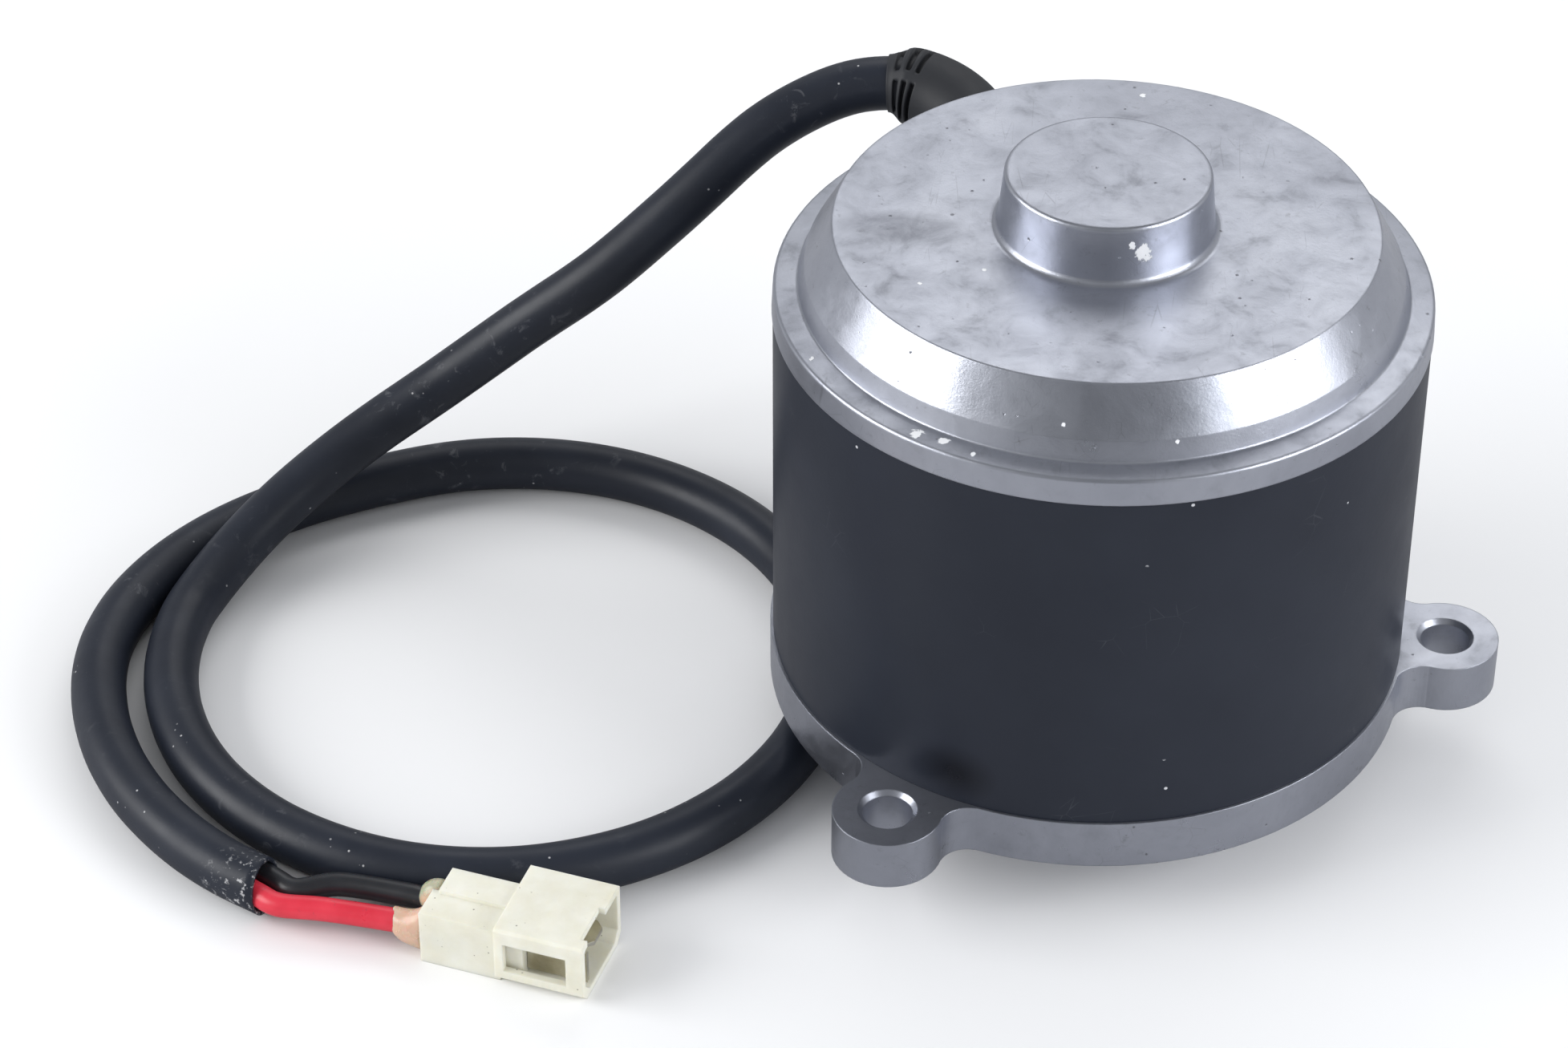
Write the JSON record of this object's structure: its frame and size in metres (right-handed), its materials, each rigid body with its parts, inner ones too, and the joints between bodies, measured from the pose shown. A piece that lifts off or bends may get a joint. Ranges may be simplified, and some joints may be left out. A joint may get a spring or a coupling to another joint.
{
  "type": "permanent magnet dc motor",
  "caption": "Brushed DC motor with cast end covers, painted tube, ear flange, drive end in a spigot, and a two-core cable ending in a blade plug.",
  "frame": {"origin": "on the motor axis at the flange's mounting face, the centre of the ear bolt circle", "axes": "+Z along the motor axis to the rear cover, +X through one ear, the cable lies on -X"},
  "size_m": [0.2516, 0.1628, 0.1138],
  "materials": {
    "cast_aluminium": "die-cast, mottled, lightly worn",
    "painted_steel": "satin black paint",
    "boot_rubber": "matt",
    "sheath_rubber": "satin, scuffed",
    "red_insulation": "semi-gloss",
    "black_insulation": "semi-gloss",
    "ivory_nylon": "translucent natural nylon",
    "tinned_brass": "dull tin",
    "hot_melt": "translucent amber",
    "ferrite": "ground ferrite",
    "spring_steel": "drawn",
    "zinc_steel": "zinc plated",
    "ground_steel": "ground",
    "lamination_steel": "stacked sheet",
    "fibre_board": "matt",
    "enamelled_copper": "enamelled",
    "bare_copper": "turned",
    "bare_brass": "rolled",
    "phenolic": "satin",
    "seal_rubber": "matt",
    "carbon": "matt graphite"
  },
  "bodies": {
    "housing": {"rear_cover": "cast_aluminium", "housing_tube": "painted_steel", "front_flange": "cast_aluminium", "cable_boot": "boot_rubber", "cable_sheath": "sheath_rubber", "wire_red": "red_insulation", "wire_black": "black_insulation", "connector_housing": "ivory_nylon", "terminal_near": "tinned_brass", "terminal_far": "tinned_brass", "glue_seals": "hot_melt", "magnets": "ferrite", "magnet_clips": "spring_steel", "tie_bolts": "zinc_steel", "front_outer_race": "ground_steel", "rear_outer_race": "ground_steel", "bearing_shields": "zinc_steel", "shaft_seal": "seal_rubber", "bearing_circlip": "spring_steel", "preload_washer": "spring_steel", "brush_plate": "phenolic", "brush_plate_screws": "zinc_steel", "brush_holders": "bare_brass", "brush_spring_a": "spring_steel", "brush_spring_b": "spring_steel", "lead_red": "red_insulation", "lead_black": "black_insulation"},
    "rotor": {"shaft": "ground_steel", "armature_core": "lamination_steel", "core_insulators": "fibre_board", "windings": "enamelled_copper", "commutator_bars": "bare_copper", "commutator_hub": "phenolic", "front_inner_race": "ground_steel", "rear_inner_race": "ground_steel"},
    "front_ball_set": {"front_balls": "ground_steel", "front_cage": "bare_brass"},
    "rear_ball_set": {"rear_balls": "ground_steel", "rear_cage": "bare_brass"},
    "brush_a": {"brush_a": "carbon"},
    "brush_b": {"brush_b": "carbon"}
  },
  "joints": [
    {"name": "rotor_spin", "type": "hinge", "parent": "housing", "child": "rotor", "pos_m": [0, 0, 0], "axis": [0, 0, 1], "continuous": true},
    {"name": "front_balls_roll", "type": "hinge", "parent": "housing", "child": "front_ball_set", "pos_m": [0, 0, 0], "axis": [0, 0, 1], "continuous": true},
    {"name": "rear_balls_roll", "type": "hinge", "parent": "housing", "child": "rear_ball_set", "pos_m": [0, 0, 0], "axis": [0, 0, 1], "continuous": true},
    {"name": "brush_a_slide", "type": "slide", "parent": "housing", "child": "brush_a", "axis": [0, 1, 0], "range_m": [0, 0.003], "stiffness_N_per_m": 500, "springref_m": -0.006, "deforming": ["brush_spring_a"]},
    {"name": "brush_b_slide", "type": "slide", "parent": "housing", "child": "brush_b", "axis": [0, -1, 0], "range_m": [0, 0.003], "stiffness_N_per_m": 500, "springref_m": -0.006, "deforming": ["brush_spring_b"]}
  ],
  "couplings": [
    {"joint": "front_balls_roll", "follows": "rotor_spin", "ratio": 0.3812},
    {"joint": "rear_balls_roll", "follows": "rotor_spin", "ratio": 0.381}
  ]
}
